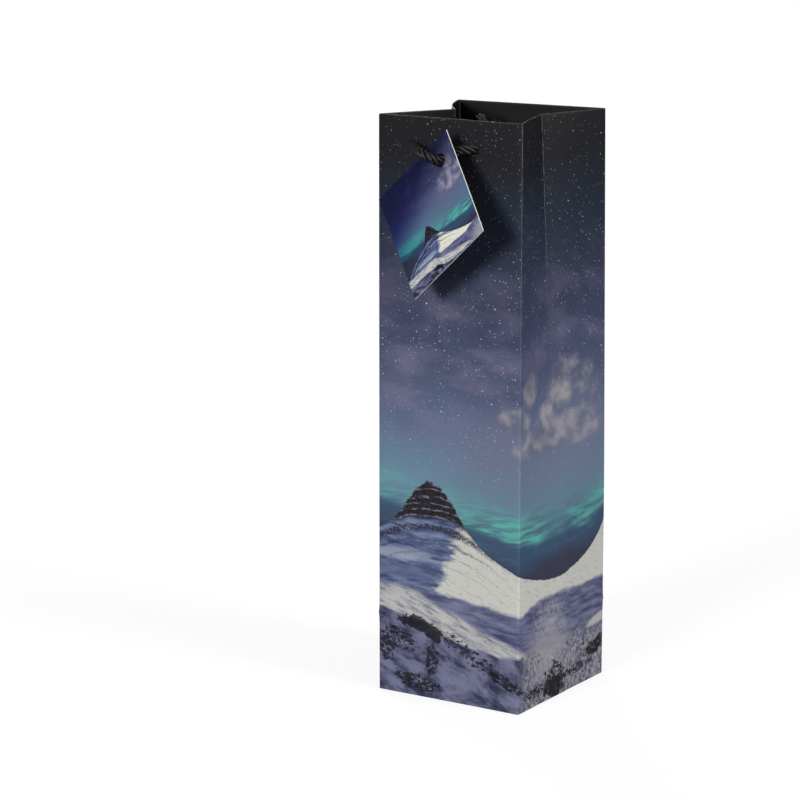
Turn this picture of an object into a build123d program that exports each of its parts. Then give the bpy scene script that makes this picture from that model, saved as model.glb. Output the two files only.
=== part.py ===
from build123d import *
import math
import os

# A paper wine gift bag: one folded sheet with a turned-in mouth, two reinforcement cards,
# a loose base board, two knotted rope handles and a card tag hung on the front rope.
# Millimetres. The origin is the middle of the base on the floor, with +X to the right
# along the front panel, +Y to the back and +Z up.

# The bag
WIDTH = 98.0
DEPTH = 102.0
HEIGHT = 350.0
FOLD_START = 120.0  # the walls are upright below this height and lean in above it
RIGHT_FOLD_IN = 16.0  # how far each gusset's crease is pushed in at the mouth
LEFT_FOLD_IN = 25.0

# The sheet and the cards
PAPER = 0.3
CARD = 0.6
CARD_HEIGHT = 30.0
HEM_HEIGHT = 36.0
GLUE_FLAP_WIDTH = 16.0
MAIN_FLAP_REACH = 65.0  # front and back bottom flaps, across the base
MAIN_FLAP_TAPER = 4.0
SIDE_FLAP_REACH = 40.0
SIDE_FLAP_TAPER = 12.0
BOARD = 0.8
BOARD_CLEARANCE = 1.4
BOARD_CORNER = 3.0

# The ropes
ROPE = 6.0
ROPE_HOLE = 6.6
HOLE_SPACING = 42.0
HOLE_DROP = 16.5  # from the top edge down to the handle holes
FRONT_HOLES_X = -3.5  # the front pair is punched a little left of the middle
PIVOT_OUT = 3.4  # a handle turns about a line this far outside its panel
KNOT_WIDTH = 14.0
KNOT_LENGTH = 17.0
KNOT_ROUND = 4.5
KNOT_GAP = 0.2  # between the back knots and the hem
TAIL = 9.0

# The tag
TAG = 70.0
TAG_THICKNESS = 0.6
TAG_HOLE = 9.4
TAG_HOLE_INSET = 12.6  # from the top and the right edge
TAG_HOLE_AT = (2.8, -64.9, 327.5)
TAG_ROLL = -41.4
TAG_PITCH = -10.3
TAG_YAW = -19.8

FRONT, RIGHT_NEAR, RIGHT_FAR, BACK, LEFT_FAR, LEFT_NEAR = range(6)
HOLE_HEIGHT = HEIGHT - HOLE_DROP
STACK = 2 * PAPER + CARD  # panel, card and hem at the front and back of the mouth


def mouth_corners():
    """The mouth's corners from above, anticlockwise from the front left."""
    half = DEPTH / 2
    right_run = math.sqrt(half**2 - RIGHT_FOLD_IN**2)
    left_run = math.sqrt(half**2 - LEFT_FOLD_IN**2)
    return [
        Vector(-WIDTH / 2, -half),
        Vector(WIDTH / 2, -half),
        Vector(WIDTH / 2 - RIGHT_FOLD_IN, right_run - half),
        Vector(WIDTH / 2, 2 * right_run - half),
        Vector(-WIDTH / 2, 2 * left_run - half),
        Vector(LEFT_FOLD_IN - WIDTH / 2, left_run - half),
    ]


def base_corners():
    """The base's corners and the feet of the gusset creases, in the same order."""
    x, y = WIDTH / 2, DEPTH / 2
    return [Vector(-x, -y), Vector(x, -y), Vector(x, 0), Vector(x, y), Vector(-x, y), Vector(-x, 0)]


def outline(height):
    """The outside of the bag at a height: the base up to FOLD_START, then straight to the mouth."""
    share = max(0.0, (height - FOLD_START) / (HEIGHT - FOLD_START))
    return [low + (high - low) * share for low, high in zip(base_corners(), mouth_corners())]


def inward(start, end):
    """The unit normal of one side of the outline, pointing into the bag."""
    along = (end - start).normalized()
    return Vector(-along.Y, along.X)


def inset(height, distance):
    """The outline at a height moved inward by a distance, with mitred corners."""
    corners = outline(height)
    moved = []
    for i, corner in enumerate(corners):
        first = inward(corners[i - 1], corner)
        second = inward(corner, corners[(i + 1) % 6])
        moved.append(corner + (first + second) * (distance / (1 + first.dot(second))))
    return moved


def wall_quad(wall, height, outer, inner):
    """One wall's section at a height, between two distances in from the outside."""
    far, near = inset(height, outer), inset(height, inner)
    after = (wall + 1) % 6
    return [far[wall], far[after], near[after], near[wall]]


def wall_strip(wall, heights, outer, inner, holes=None):
    """A strip of one wall through the given heights, with rope holes if it has any."""
    with BuildPart() as strip:
        for height in heights:
            with BuildSketch(Plane.XY.offset(height)):
                with BuildLine():
                    Polyline(*wall_quad(wall, height, outer, inner), close=True)
                make_face()
        loft(ruled=True)
        if holes:
            with BuildSketch(holes):
                with GridLocations(HOLE_SPACING, 1, 2, 1):
                    Circle(ROPE_HOLE / 2)
            extrude(amount=KNOT_LENGTH, both=True, mode=Mode.SUBTRACT)
    return strip


def hem_over_card(wall, holes):
    """A turned-in hem that wraps over a reinforcement card, as an upside-down L."""
    with BuildPart() as hem:
        for heights, outer in (
            ((HEIGHT - HEM_HEIGHT, HEIGHT - PAPER), PAPER + CARD),
            ((HEIGHT - PAPER, HEIGHT), PAPER),
        ):
            for height in heights:
                with BuildSketch(Plane.XY.offset(height)):
                    with BuildLine():
                        Polyline(*wall_quad(wall, height, outer, STACK), close=True)
                    make_face()
            loft(ruled=True)
        with BuildSketch(holes):
            with GridLocations(HOLE_SPACING, 1, 2, 1):
                Circle(ROPE_HOLE / 2)
        extrude(amount=KNOT_LENGTH, both=True, mode=Mode.SUBTRACT)
    return hem


def handle_plane(wall, middle_x):
    """A plane on the outside of a panel at the rope holes: z out of the bag, y up the panel."""
    start, end = outline(HOLE_HEIGHT)[wall], outline(HOLE_HEIGHT)[wall + 1]
    across = (end - start).normalized()
    share = (middle_x - start.X) / (end.X - start.X)
    here = start + (end - start) * share
    above = outline(HEIGHT)[wall] + (outline(HEIGHT)[wall + 1] - outline(HEIGHT)[wall]) * share
    up = (above - here + Vector(0, 0, HOLE_DROP)).normalized()
    return Plane(here + Vector(0, 0, HOLE_HEIGHT), x_dir=across, z_dir=across.cross(up))


def corner_radii(points):
    """The largest even-handed radius for each corner of a rope's route."""
    radii = []
    for before, here, after in zip(points, points[1:], points[2:]):
        run_in, run_out = here - before, after - here
        turn = math.radians(run_in.get_angle(run_out))
        radii.append(0.45 * min(run_in.length, run_out.length) / math.tan(turn / 2))
    return radii


def rope(name, points, ball_ends):
    """A rope of straight runs and tangent arcs. Ball ends sit on a handle's pivot line."""
    points = [Vector(point) for point in points]
    radii = corner_radii(points)
    with BuildPart() as tube:
        with BuildLine() as route:
            FilletPolyline(*points, radius=radii)
        with BuildSketch(Plane(points[0], z_dir=points[1] - points[0])):
            Circle(ROPE / 2)
        sweep(path=route.wires()[0])
        swept = tube.part.volume
        if ball_ends:
            with Locations(points[0], points[-1]):
                Sphere(ROPE / 2)
    length = route.wires()[0].length
    by_length = math.pi * (ROPE / 2) ** 2 * length
    print(name, "length %.1f" % length, "radii", [round(radius, 1) for radius in radii],
          "tube volume / section x length %.3f" % (swept / by_length))
    return tube


def knot(at, along, neck=0.0):
    """An overhand knot's outer shape, centred on a point, with the rope's cut tail beyond it."""
    with BuildPart() as shape:
        with Locations(Plane(at, z_dir=along)):
            Cylinder(KNOT_WIDTH / 2, KNOT_LENGTH)
        fillet(shape.edges().filter_by(GeomType.CIRCLE), radius=KNOT_ROUND)
        with Locations(Plane(at, z_dir=along)):
            Cylinder(ROPE / 2, KNOT_LENGTH / 2 + TAIL, align=(Align.CENTER, Align.CENTER, Align.MIN))
            if neck:
                Cylinder(ROPE / 2, KNOT_LENGTH / 2 + neck, align=(Align.CENTER, Align.CENTER, Align.MAX))
    return shape


def save(piece, name):
    """Label a finished piece and write it as its own STEP file."""
    piece.part.label = name
    export_step(piece.part, f"parts/{name}.step")


os.makedirs("parts", exist_ok=True)

# The folded sheet: six wall panels between its upright creases

front_holes = handle_plane(FRONT, FRONT_HOLES_X)
back_holes = handle_plane(BACK, 0)
full_height = (0, FOLD_START, HEIGHT - HEM_HEIGHT, HEIGHT)

for name, wall, holes in (
    ("front_panel", FRONT, front_holes),
    ("right_gusset_front_half", RIGHT_NEAR, None),
    ("right_gusset_back_half", RIGHT_FAR, None),
    ("back_panel", BACK, back_holes),
    ("left_gusset_back_half", LEFT_FAR, None),
    ("left_gusset_front_half", LEFT_NEAR, None),
):
    save(wall_strip(wall, full_height, 0, PAPER, holes), name)

# The turned-in hem, and the cards inside it at the front and back

for name, wall in (
    ("right_hem_front_half", RIGHT_NEAR),
    ("right_hem_back_half", RIGHT_FAR),
    ("left_hem_back_half", LEFT_FAR),
    ("left_hem_front_half", LEFT_NEAR),
):
    save(wall_strip(wall, (HEIGHT - HEM_HEIGHT, HEIGHT), PAPER, 2 * PAPER), name)

for side, wall, holes in (("front", FRONT, front_holes), ("back", BACK, back_holes)):
    card_heights = (HEIGHT - PAPER - CARD_HEIGHT, HEIGHT - PAPER)
    card = wall_strip(wall, card_heights, PAPER, PAPER + CARD, holes)
    save(card, f"{side}_reinforcement_card")
    save(hem_over_card(wall, holes), f"{side}_hem")

# The glue flap inside the back left corner, up to the hem

with BuildPart() as glue_flap:
    for flap_height in (3 * PAPER, FOLD_START, HEIGHT - HEM_HEIGHT - 1):
        outer_right, outer_left, inner_left, inner_right = wall_quad(BACK, flap_height, PAPER, 2 * PAPER)
        toward_right = (outer_right - outer_left).normalized() * GLUE_FLAP_WIDTH
        with BuildSketch(Plane.XY.offset(flap_height)):
            with BuildLine():
                inner_end, outer_end = inner_left + toward_right, outer_left + toward_right
                Polyline(outer_left, inner_left, inner_end, outer_end, close=True)
            make_face()
    loft(ruled=True)
save(glue_flap, "glue_flap")

# The bottom: two side flaps, the back flap over them and the front flap outermost

inner_x = WIDTH / 2 - PAPER
inner_y = DEPTH / 2 - PAPER

for name, side, bottom in (("front_bottom_flap", -1, 0), ("back_bottom_flap", 1, PAPER)):
    with BuildPart() as main_flap:
        with BuildSketch(Plane.XY.offset(bottom)):
            with BuildLine():
                tip_y = side * (inner_y - MAIN_FLAP_REACH)
                tip_x = inner_x - MAIN_FLAP_TAPER
                Polyline(
                    (-inner_x, side * inner_y),
                    (inner_x, side * inner_y),
                    (tip_x, tip_y),
                    (-tip_x, tip_y),
                    close=True,
                )
            make_face()
        extrude(amount=PAPER)
    save(main_flap, name)

for name, side in (("right_bottom_flap", 1), ("left_bottom_flap", -1)):
    with BuildPart() as side_flap:
        with BuildSketch(Plane.XY.offset(2 * PAPER)):
            with BuildLine():
                tip_x = side * (inner_x - SIDE_FLAP_REACH)
                tip_y = inner_y - SIDE_FLAP_TAPER
                Polyline(
                    (side * inner_x, -inner_y),
                    (side * inner_x, inner_y),
                    (tip_x, tip_y),
                    (tip_x, -tip_y),
                    close=True,
                )
            make_face()
        extrude(amount=PAPER)
    save(side_flap, name)

with BuildPart() as base_board:
    with BuildSketch(Plane.XY.offset(3 * PAPER)):
        board_width = WIDTH - 2 * BOARD_CLEARANCE
        board_depth = DEPTH - 2 * BOARD_CLEARANCE
        RectangleRounded(board_width, board_depth, BOARD_CORNER)
    extrude(amount=BOARD)
save(base_board, "base_board")

# The front rope: a short V outside, threaded through the tag, and two slack ends inside

front_left_x = FRONT_HOLES_X - HOLE_SPACING / 2
front_right_x = FRONT_HOLES_X + HOLE_SPACING / 2
front_y = -DEPTH / 2

front_rope_loop = rope(
    "front_rope_loop",
    [
        (front_left_x, front_y - PIVOT_OUT, HOLE_HEIGHT),
        (-6.3, -71.6, 331.9),
        (3.2, -64.9, 325.6),
        (9.6, -58.2, 333.4),
        (front_right_x, front_y - PIVOT_OUT, HOLE_HEIGHT),
    ],
    ball_ends=True,
)
save(front_rope_loop, "front_rope_loop")

left_end_route = [
    (front_left_x, front_y, HOLE_HEIGHT),
    (front_left_x, front_y + 8.5, HOLE_HEIGHT - 0.5),
    (front_left_x - 0.6, front_y + 12.5, HOLE_HEIGHT - 10.0),
    (front_left_x - 1.6, front_y + 10.0, HOLE_HEIGHT - 29.0),
    (front_left_x - 0.4, front_y + 8.8, HOLE_HEIGHT - 56.0),
    (front_left_x + 0.8, front_y + 9.6, HOLE_HEIGHT - 76.0),
]
right_end_route = [
    (front_right_x, front_y, HOLE_HEIGHT),
    (front_right_x, front_y + 8.5, HOLE_HEIGHT - 0.4),
    (front_right_x + 0.4, front_y + 12.8, HOLE_HEIGHT - 9.8),
    (front_right_x + 1.8, front_y + 10.4, HOLE_HEIGHT - 28.0),
    (front_right_x + 0.6, front_y + 9.0, HOLE_HEIGHT - 58.0),
    (front_right_x - 0.9, front_y + 9.8, HOLE_HEIGHT - 82.0),
]
for side, end_route in (("left", left_end_route), ("right", right_end_route)):
    name = f"front_rope_{side}_end"
    save(rope(name, end_route, ball_ends=False), name)
    rope_end, before_end = Vector(end_route[-1]), Vector(end_route[-2])
    along = (rope_end - before_end).normalized()
    save(knot(rope_end + along * (KNOT_LENGTH / 2), along), f"front_{side}_knot")

# The back rope: the full loop hangs outside, with its knots close behind the holes

half_spacing = HOLE_SPACING / 2
loop_points = [
    (half_spacing, 0, PIVOT_OUT),
    (half_spacing + 0.8, -9.0, 8.6),
    (half_spacing + 2.6, -27.0, 9.4),
    (half_spacing + 0.8, -60.0, 7.6),
    (half_spacing - 7.4, -84.0, 5.8),
    (5.6, -95.2, 5.0),
    (-9.6, -94.0, 5.2),
    (-half_spacing + 4.6, -77.0, 6.2),
    (-half_spacing - 1.4, -51.0, 8.0),
    (-half_spacing - 2.2, -24.0, 9.6),
    (-half_spacing - 0.6, -8.6, 8.4),
    (-half_spacing, 0, PIVOT_OUT),
]
loop_route = [back_holes.from_local_coords(point) for point in loop_points]
save(rope("back_rope_loop", loop_route, ball_ends=True), "back_rope_loop")

for side, hole_x in (("left", half_spacing), ("right", -half_spacing)):
    neck = STACK + KNOT_GAP
    knot_at = back_holes.from_local_coords((hole_x, 0, -neck - KNOT_LENGTH / 2))
    save(knot(knot_at, back_holes.z_dir * -1, neck), f"back_{side}_knot")

# The tag: a square card hung from the hole in its top right corner

card_right = Vector(1, 0, 0).rotate(Axis.Y, TAG_ROLL).rotate(Axis.X, TAG_PITCH).rotate(Axis.Z, TAG_YAW)
card_face = Vector(0, -1, 0).rotate(Axis.X, TAG_PITCH).rotate(Axis.Z, TAG_YAW)
tag_plane = Plane(TAG_HOLE_AT, x_dir=card_right, z_dir=card_face)

with BuildPart() as gift_tag:
    with BuildSketch(tag_plane.offset(-TAG_THICKNESS / 2)):
        with Locations((TAG_HOLE_INSET - TAG / 2, TAG_HOLE_INSET - TAG / 2)):
            Rectangle(TAG, TAG)
        Circle(TAG_HOLE / 2, mode=Mode.SUBTRACT)
    extrude(amount=TAG_THICKNESS)
save(gift_tag, "gift_tag")
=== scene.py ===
"""The looks of a paper wine gift bag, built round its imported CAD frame.

The artwork is laid out on the flat sheet: u runs round the bag from its front left edge, v up from the
floor.
"""
import math
import bpy
from mathutils import Matrix, Vector, noise


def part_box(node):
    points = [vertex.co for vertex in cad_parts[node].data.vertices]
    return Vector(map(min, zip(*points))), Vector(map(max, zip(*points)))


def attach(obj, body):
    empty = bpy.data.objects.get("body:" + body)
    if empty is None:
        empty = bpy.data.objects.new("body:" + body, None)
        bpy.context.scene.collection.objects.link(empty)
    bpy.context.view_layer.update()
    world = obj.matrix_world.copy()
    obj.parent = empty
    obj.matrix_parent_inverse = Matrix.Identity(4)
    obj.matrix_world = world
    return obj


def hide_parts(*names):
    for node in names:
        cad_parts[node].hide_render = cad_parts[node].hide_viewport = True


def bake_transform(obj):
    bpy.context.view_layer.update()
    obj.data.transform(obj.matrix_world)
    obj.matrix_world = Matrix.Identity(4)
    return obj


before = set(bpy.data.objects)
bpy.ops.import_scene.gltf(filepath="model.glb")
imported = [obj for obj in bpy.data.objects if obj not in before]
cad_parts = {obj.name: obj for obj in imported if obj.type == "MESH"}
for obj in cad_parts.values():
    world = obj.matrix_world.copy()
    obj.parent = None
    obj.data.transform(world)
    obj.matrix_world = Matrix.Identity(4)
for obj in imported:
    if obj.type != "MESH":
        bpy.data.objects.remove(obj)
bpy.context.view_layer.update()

MM = 0.001


def span(node):
    """A CAD node's lowest and highest corners, in millimetres."""
    low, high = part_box(node)
    return Vector(low) / MM, Vector(high) / MM


# The bag's own sizes, read from the frame

PANEL_LOW, PANEL_HIGH = span("front_panel")
WIDTH = PANEL_HIGH.x - PANEL_LOW.x
HEIGHT = PANEL_HIGH.z
DEPTH = -2 * PANEL_LOW.y
HEM_FOOT = span("front_hem")[0].z
PAPER = PANEL_HIGH.y - PANEL_LOW.y
STACK = span("front_hem")[1].y - PANEL_LOW.y  # panel, card and hem together
RIGHT_FOLD_IN = WIDTH / 2 - span("right_gusset_front_half")[0].x - PAPER
LEFT_FOLD_IN = WIDTH / 2 + span("left_gusset_front_half")[1].x - PAPER
HOLE_DROP = 16.5  # from the mouth to the middle of the rope holes
HOLE_HEIGHT = HEIGHT - HOLE_DROP
HOLE_SPACING = 42.0
HOLE_PAIR = (-HOLE_SPACING / 2, HOLE_SPACING / 2)
FRONT_HOLES_X = -3.5
ROPE = 6.0


# Camera: a long lens from the bag's front right, a little above the mouth

CAMERA_AZIMUTH = math.radians(32.8)
CAMERA_ELEVATION = math.radians(12.0)
CAMERA_DISTANCE = 1.84
CAMERA_TARGET = Vector((-0.0668, 0.0, 0.1678))
CAMERA_SENSOR = 36
CAMERA_LENS = 135


def add_object(name, data):
    """An object with this data, linked to the scene."""
    made = bpy.data.objects.new(name, data)
    bpy.context.scene.collection.objects.link(made)
    return made


def add_camera():
    """The camera looks at its target from the azimuth and elevation above."""
    turn = Matrix.Rotation(CAMERA_AZIMUTH, 3, "Z") @ Matrix.Rotation(-CAMERA_ELEVATION, 3, "X")
    back = turn @ Vector((0, -1, 0))
    data = bpy.data.cameras.new("camera")
    data.sensor_width = CAMERA_SENSOR
    data.lens = CAMERA_LENS
    camera = add_object("camera", data)
    camera.location = CAMERA_TARGET + back * CAMERA_DISTANCE
    camera.rotation_euler = back.to_track_quat("Z", "Y").to_euler()
    bpy.context.scene.camera = camera


add_camera()


# Mesh helpers

def bare_mesh(name, points, faces):
    """Mesh data from points in millimetres."""
    data = bpy.data.meshes.new(name)
    data.from_pydata([Vector(point) * MM for point in points], [], faces)
    return data


def add_mesh(name, points, faces, material, smooth=True):
    """A mesh piece from points in millimetres, with its material."""
    data = bare_mesh(name, points, faces)
    data.validate()
    data.materials.append(material)
    if smooth:
        data.shade_smooth()
    piece = add_object(name, data)
    return piece


def band(lower, upper):
    """The faces between two closed rings of point numbers."""
    return list(zip(lower, lower[1:] + lower[:1], upper[1:] + upper[:1], upper))


def tube(rings):
    """The faces of a tube through rings of point numbers, with its two ends closed."""
    faces = []
    for here, after in zip(rings, rings[1:]):
        faces += band(here, after)
    return faces + [rings[0][::-1], rings[-1]]


def newest(points, count):
    """The numbers of the last few points, as a ring."""
    return tuple(range(len(points) - count, len(points)))


def evenly(line, step):
    """A polyline's points moved to an even spacing near the step."""
    lengths = [0.0]
    for before, after in zip(line, line[1:]):
        lengths.append(lengths[-1] + (after - before).length)
    count = max(2, round(lengths[-1] / step))
    spaced = []
    place = 0
    for i in range(count + 1):
        wanted = lengths[-1] * i / count
        while place < len(line) - 2 and lengths[place + 1] < wanted:
            place += 1
        share = (wanted - lengths[place]) / (lengths[place + 1] - lengths[place])
        spaced.append(line[place].lerp(line[place + 1], share))
    return spaced


def smooth_line(route):
    """The line of a NURBS spline whose control points are a rope's route, in millimetres."""
    curve = bpy.data.curves.new("route", "CURVE")
    curve.dimensions = "3D"
    curve.resolution_u = 16
    spline = curve.splines.new("NURBS")
    spline.points.add(len(route) - 1)
    for control, point in zip(spline.points, route):
        control.co = (*(Vector(point) * MM), 1.0)
    spline.order_u = 3
    spline.use_endpoint_u = True
    holder = bpy.data.objects.new("route", curve)
    data = bpy.data.meshes.new_from_object(holder)
    line = [vertex.co / MM for vertex in data.vertices]
    bpy.data.objects.remove(holder)
    bpy.data.meshes.remove(data)
    bpy.data.curves.remove(curve)
    return line


def turning_frames(line):
    """Two crosswise directions at each point of a line, carried along without twisting."""
    frames = []
    tangent = (line[1] - line[0]).normalized()
    side = tangent.orthogonal().normalized()
    for i in range(len(line)):
        after = (line[min(i + 1, len(line) - 1)] - line[max(i - 1, 0)]).normalized()
        side = (side - after * side.dot(after)).normalized()
        frames.append((side, after.cross(side)))
    return frames


# Ropes: four strands laid round a line

STRANDS = 4
STRAND_LAY = 15.0  # how far a strand travels in one turn round the rope
STRAND_RADIUS = 1.3
STRAND_SIDES = 10
STRAND_STEP = 0.5


def add_rope(name, line, material):
    """Strands twisted round a line, with their ends closed. UV holds the length and the way round."""
    line = evenly(line, STRAND_STEP)
    frames = turning_frames(line)
    orbit = ROPE / 2 - STRAND_RADIUS
    points = []
    faces = []
    places = []
    for strand in range(STRANDS):
        rings = []
        for i, (middle, (side, across)) in enumerate(zip(line, frames)):
            turn = math.tau * (i * STRAND_STEP / STRAND_LAY + strand / STRANDS)
            centre = middle + (side * math.cos(turn) + across * math.sin(turn)) * orbit
            for corner in range(STRAND_SIDES):
                angle = math.tau * corner / STRAND_SIDES + turn
                out = side * math.cos(angle) + across * math.sin(angle)
                points.append(centre + out * STRAND_RADIUS)
                places.append((i * STRAND_STEP, corner))
            rings.append(newest(points, STRAND_SIDES))
        faces += tube(rings)
    piece = add_mesh(name, points, faces, material)
    layer = piece.data.uv_layers.new(name="lay")
    for polygon in piece.data.polygons:
        corners = [places[vertex] for vertex in polygon.vertices]
        wraps = max(corner for _, corner in corners) - min(corner for _, corner in corners) > 2
        for loop, (length, corner) in zip(polygon.loop_indices, corners):
            lap = STRAND_SIDES if wraps and corner == 0 else 0
            layer.data[loop].uv = (length, (corner + lap) / STRAND_SIDES)
    return piece


# Material helpers

def ink(red, green, blue):
    """A colour given as it looks on a screen, from 0 to 255, as the shader's linear value."""
    def linear(c):
        return ((c / 255 + 0.055) / 1.055) ** 2.4 if c > 10 else c / 255 / 12.92
    return (linear(red), linear(green), linear(blue), 1.0)


def joining(operation, swapped=False):
    """A method that puts a Math node on a value, and on the other one where there is one."""
    def join(self, *other):
        return self.net.math(operation, *((*other, self) if swapped else (self, *other)))
    return join


class Value:
    """A node's output, to be reckoned with like a number."""

    def __init__(self, net, socket):
        self.net = net
        self.socket = socket

    __add__, __radd__ = joining("ADD"), joining("ADD", True)
    __sub__, __rsub__ = joining("SUBTRACT"), joining("SUBTRACT", True)
    __mul__, __truediv__ = joining("MULTIPLY"), joining("DIVIDE")
    __pow__, __abs__ = joining("POWER"), joining("ABSOLUTE")

    def rise(self, low, high):
        """0 below low and 1 above high, with a smooth step between. high may be the lower one."""
        fed = {"Value": self, "From Min": min(low, high), "From Max": max(low, high),
               "To Min": float(high < low), "To Max": float(high > low)}
        return self.net.value("MapRange", fed, interpolation_type="SMOOTHSTEP")


class Net:
    """Builds the nodes of a material or world. Any input is a number, a colour or a Value."""

    def __init__(self, owner):
        owner.use_nodes = True
        self.owner = owner
        self.tree = owner.node_tree
        self.tree.nodes.clear()

    def node(self, kind, fed, **settings):
        """A node with its settings made and its inputs fed, by their names or numbers."""
        made = self.tree.nodes.new("ShaderNode" + kind)
        for key, setting in settings.items():
            setattr(made, key, setting)
        for key, value in fed.items():
            if isinstance(value, Value):
                self.tree.links.new(value.socket, made.inputs[key])
            else:
                made.inputs[key].default_value = value
        return made

    def value(self, kind, fed, output=0, **settings):
        """One output of a new node."""
        return Value(self, self.node(kind, fed, **settings).outputs[output])

    def math(self, operation, *values, clamp=False):
        return self.value("Math", dict(enumerate(values)), operation=operation, use_clamp=clamp)

    def mix(self, share, first, second, blend="MIX"):
        return self.value("Mix", {0: share, 6: first, 7: second}, 2, data_type="RGBA", blend_type=blend)

    def ramp(self, value, stops):
        made = self.node("ValToRGB", {0: value})
        elements = made.color_ramp.elements
        while len(elements) < len(stops):
            elements.new(0.5)
        for element, (place, colour) in zip(elements, stops):
            element.position = place
            element.color = colour
        return Value(self, made.outputs[0])

    def curve(self, value, points):
        """A curve through points in millimetres, within the picture's width and CURVE_HEIGHT."""
        made = self.node("FloatCurve", {"Value": value / PICTURE_WIDTH})
        track = made.mapping.curves[0]
        while len(track.points) < len(points):
            track.points.new(0.5, 0.5)
        for point, (across, up) in zip(track.points, points):
            point.location = (across / PICTURE_WIDTH, up / CURVE_HEIGHT)
        made.mapping.update()
        return Value(self, made.outputs[0]) * CURVE_HEIGHT

    def place(self, x, y, z=0.0):
        return self.value("CombineXYZ", {0: x, 1: y, 2: z})

    def along(self, share, u, v, layer):
        """A place for noise that is drawn out along u, which counts for only its share."""
        return self.place(u * share, v, layer)

    def split(self, vector):
        """A vector's three parts."""
        made = self.node("SeparateXYZ", {0: vector})
        return [Value(self, output) for output in made.outputs]

    def flat_place(self, layer):
        """The two coordinates of a UV layer."""
        return self.split(self.value("UVMap", {}, uv_map=layer))[:2]

    def own_place(self):
        """The piece's own coordinates, in millimetres."""
        here = self.value("TexCoord", {}, "Object")
        return self.value("VectorMath", {0: here, "Scale": 1 / MM}, operation="SCALE")

    def noise(self, where, size, detail=4.0, roughness=0.5, distortion=0.0):
        """Noise from 0 to 1 whose lumps are about size millimetres."""
        fed = {"Vector": where, "Scale": 1 / size, "Detail": detail, "Roughness": roughness,
               "Distortion": distortion}
        return self.value("TexNoise", fed, "Fac")

    def sway(self, amount, where, size, detail=4.0, roughness=0.5):
        """Noise about zero, an amount wide from its lowest to its highest."""
        return (self.noise(where, size, detail, roughness) - 0.5) * amount

    def cells(self, where, size):
        """The distance to the nearest of many scattered points, and that point's own chance number."""
        made = self.node("TexVoronoi", {"Vector": where, "Scale": 1 / size})
        chance = self.split(Value(self, made.outputs["Color"]))[0]
        return Value(self, made.outputs["Distance"]), chance

    def surface(self, colour, roughness, bump=None, **inputs):
        """Ends in a Principled shader. A bump is (height, distance in millimetres, strength)."""
        fed = {"Base Color": colour, "Roughness": roughness}
        fed |= {key.replace("_", " "): value for key, value in inputs.items()}
        if bump:
            height, distance, strength = bump
            raised = {"Height": height, "Distance": distance * MM, "Strength": strength}
            fed["Normal"] = self.value("Bump", raised)
        self.node("OutputMaterial", {0: self.value("BsdfPrincipled", fed)})
        return self.owner


# The printed landscape, in millimetres on the flat sheet. It repeats round the bag.

PICTURE_WIDTH = 200.0
CURVE_HEIGHT = 160.0
WHITE = (1.0, 1.0, 1.0, 1.0)
SKY = (
    (0.0, ink(44, 50, 66)), (0.3, ink(66, 84, 110)), (0.37, ink(104, 129, 152)), (0.45, ink(98, 112, 141)),
    (0.56, ink(72, 80, 108)), (0.66, ink(56, 62, 89)), (0.76, ink(41, 48, 69)), (0.85, ink(26, 35, 50)),
    (0.93, ink(18, 19, 27)), (1.0, ink(18, 18, 21)),
)
RIDGE = ((0, 101), (8, 106), (15, 113), (21, 121), (27, 129), (36, 133), (45, 129), (53, 119), (60, 109),
         (72, 97), (88, 88), (98, 84), (118, 78), (138, 75), (160, 78), (180, 84), (190, 90), (200, 99))
AURORA = ((0, 123), (24, 118), (62, 112), (98, 105), (126, 104), (150, 106), (176, 104), (190, 108),
          (200, 113))
SLOPE_FOOT = ((0, 68), (26, 67), (50, 66), (70, 63), (100, 60), (118, 64), (140, 65), (170, 64), (200, 63))
FIELD_TOP = ((0, 67), (20, 66), (45, 57), (75, 46), (108, 33), (130, 12), (200, 12))
FIELD_FOOT = ((0, 52), (20, 50), (42, 42), (60, 37), (88, 33), (108, 31), (130, 14), (200, 14))
PUFFS = ((97, 176, 15, 9), (96, 176, 12, 6), (113, 193, 12, 10), (137, 174, 17, 8), (137, 173, 9, 5),
         (165, 195, 21, 13), (186, 178, 14, 9), (120, 160, 27, 8), (162, 163, 36, 10), (152, 184, 14, 8))
BANKS = ((22, 206, 26, 10), (55, 203, 24, 8), (82, 212, 18, 9), (44, 238, 24, 12), (70, 196, 22, 6),
         (12, 182, 24, 8), (172, 218, 20, 10), (40, 172, 22, 7))
ROCKS = (  # east, north, half width, half height, fall, how solid
    (28, 45, 12, 5.0, -0.12, 1.0), (38, 41, 7, 5.0, -0.3, 1.0), (70, 28, 34, 5.5, -0.5, 0.15),
    (90, 17, 14, 3.0, -0.35, 0.35), (38, 24, 4.5, 10, 0.3, 0.3), (28, 9, 16, 5, -0.1, 0.3),
    (5, 30, 6, 10, 0.0, 0.3), (14, 34, 14, 6, -0.2, 0.2), (141, 7, 12, 7.5, 0.0, 1.0),
    (140, 16, 12, 5, 0.0, 0.2), (122, 9, 22, 3.2, 0.05, 0.3), (168, 12, 18, 3.0, 0.05, 0.3),
    (192, 21, 14, 5, 0.15, 0.45), (165, 28, 28, 7, 0.1, -0.05), (112, 28, 14, 8, -0.2, -0.05),
)
STARS = ((5.6, 0.6, 0.6, 1.0), (3.1, 0.44, 0.8, 1.0), (1.9, 0.34, 0.9, 0.8))  # cell, radius, odds, power
ROCK_BANDS = ((105.5, 3.4, 0.95), (98.0, 1.4, 0.6), (90.5, 0.9, 0.35), (84.0, 0.7, 0.25))  # v, thick, share


def ellipse(u, v, east, north, wide, high, fall=0.0):
    """The squared distance out from a centre, 1 on the ellipse's rim."""
    aside = u - east
    across = aside / wide
    up = (v - north - aside * fall) / high
    return across**2 + up**2


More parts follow.
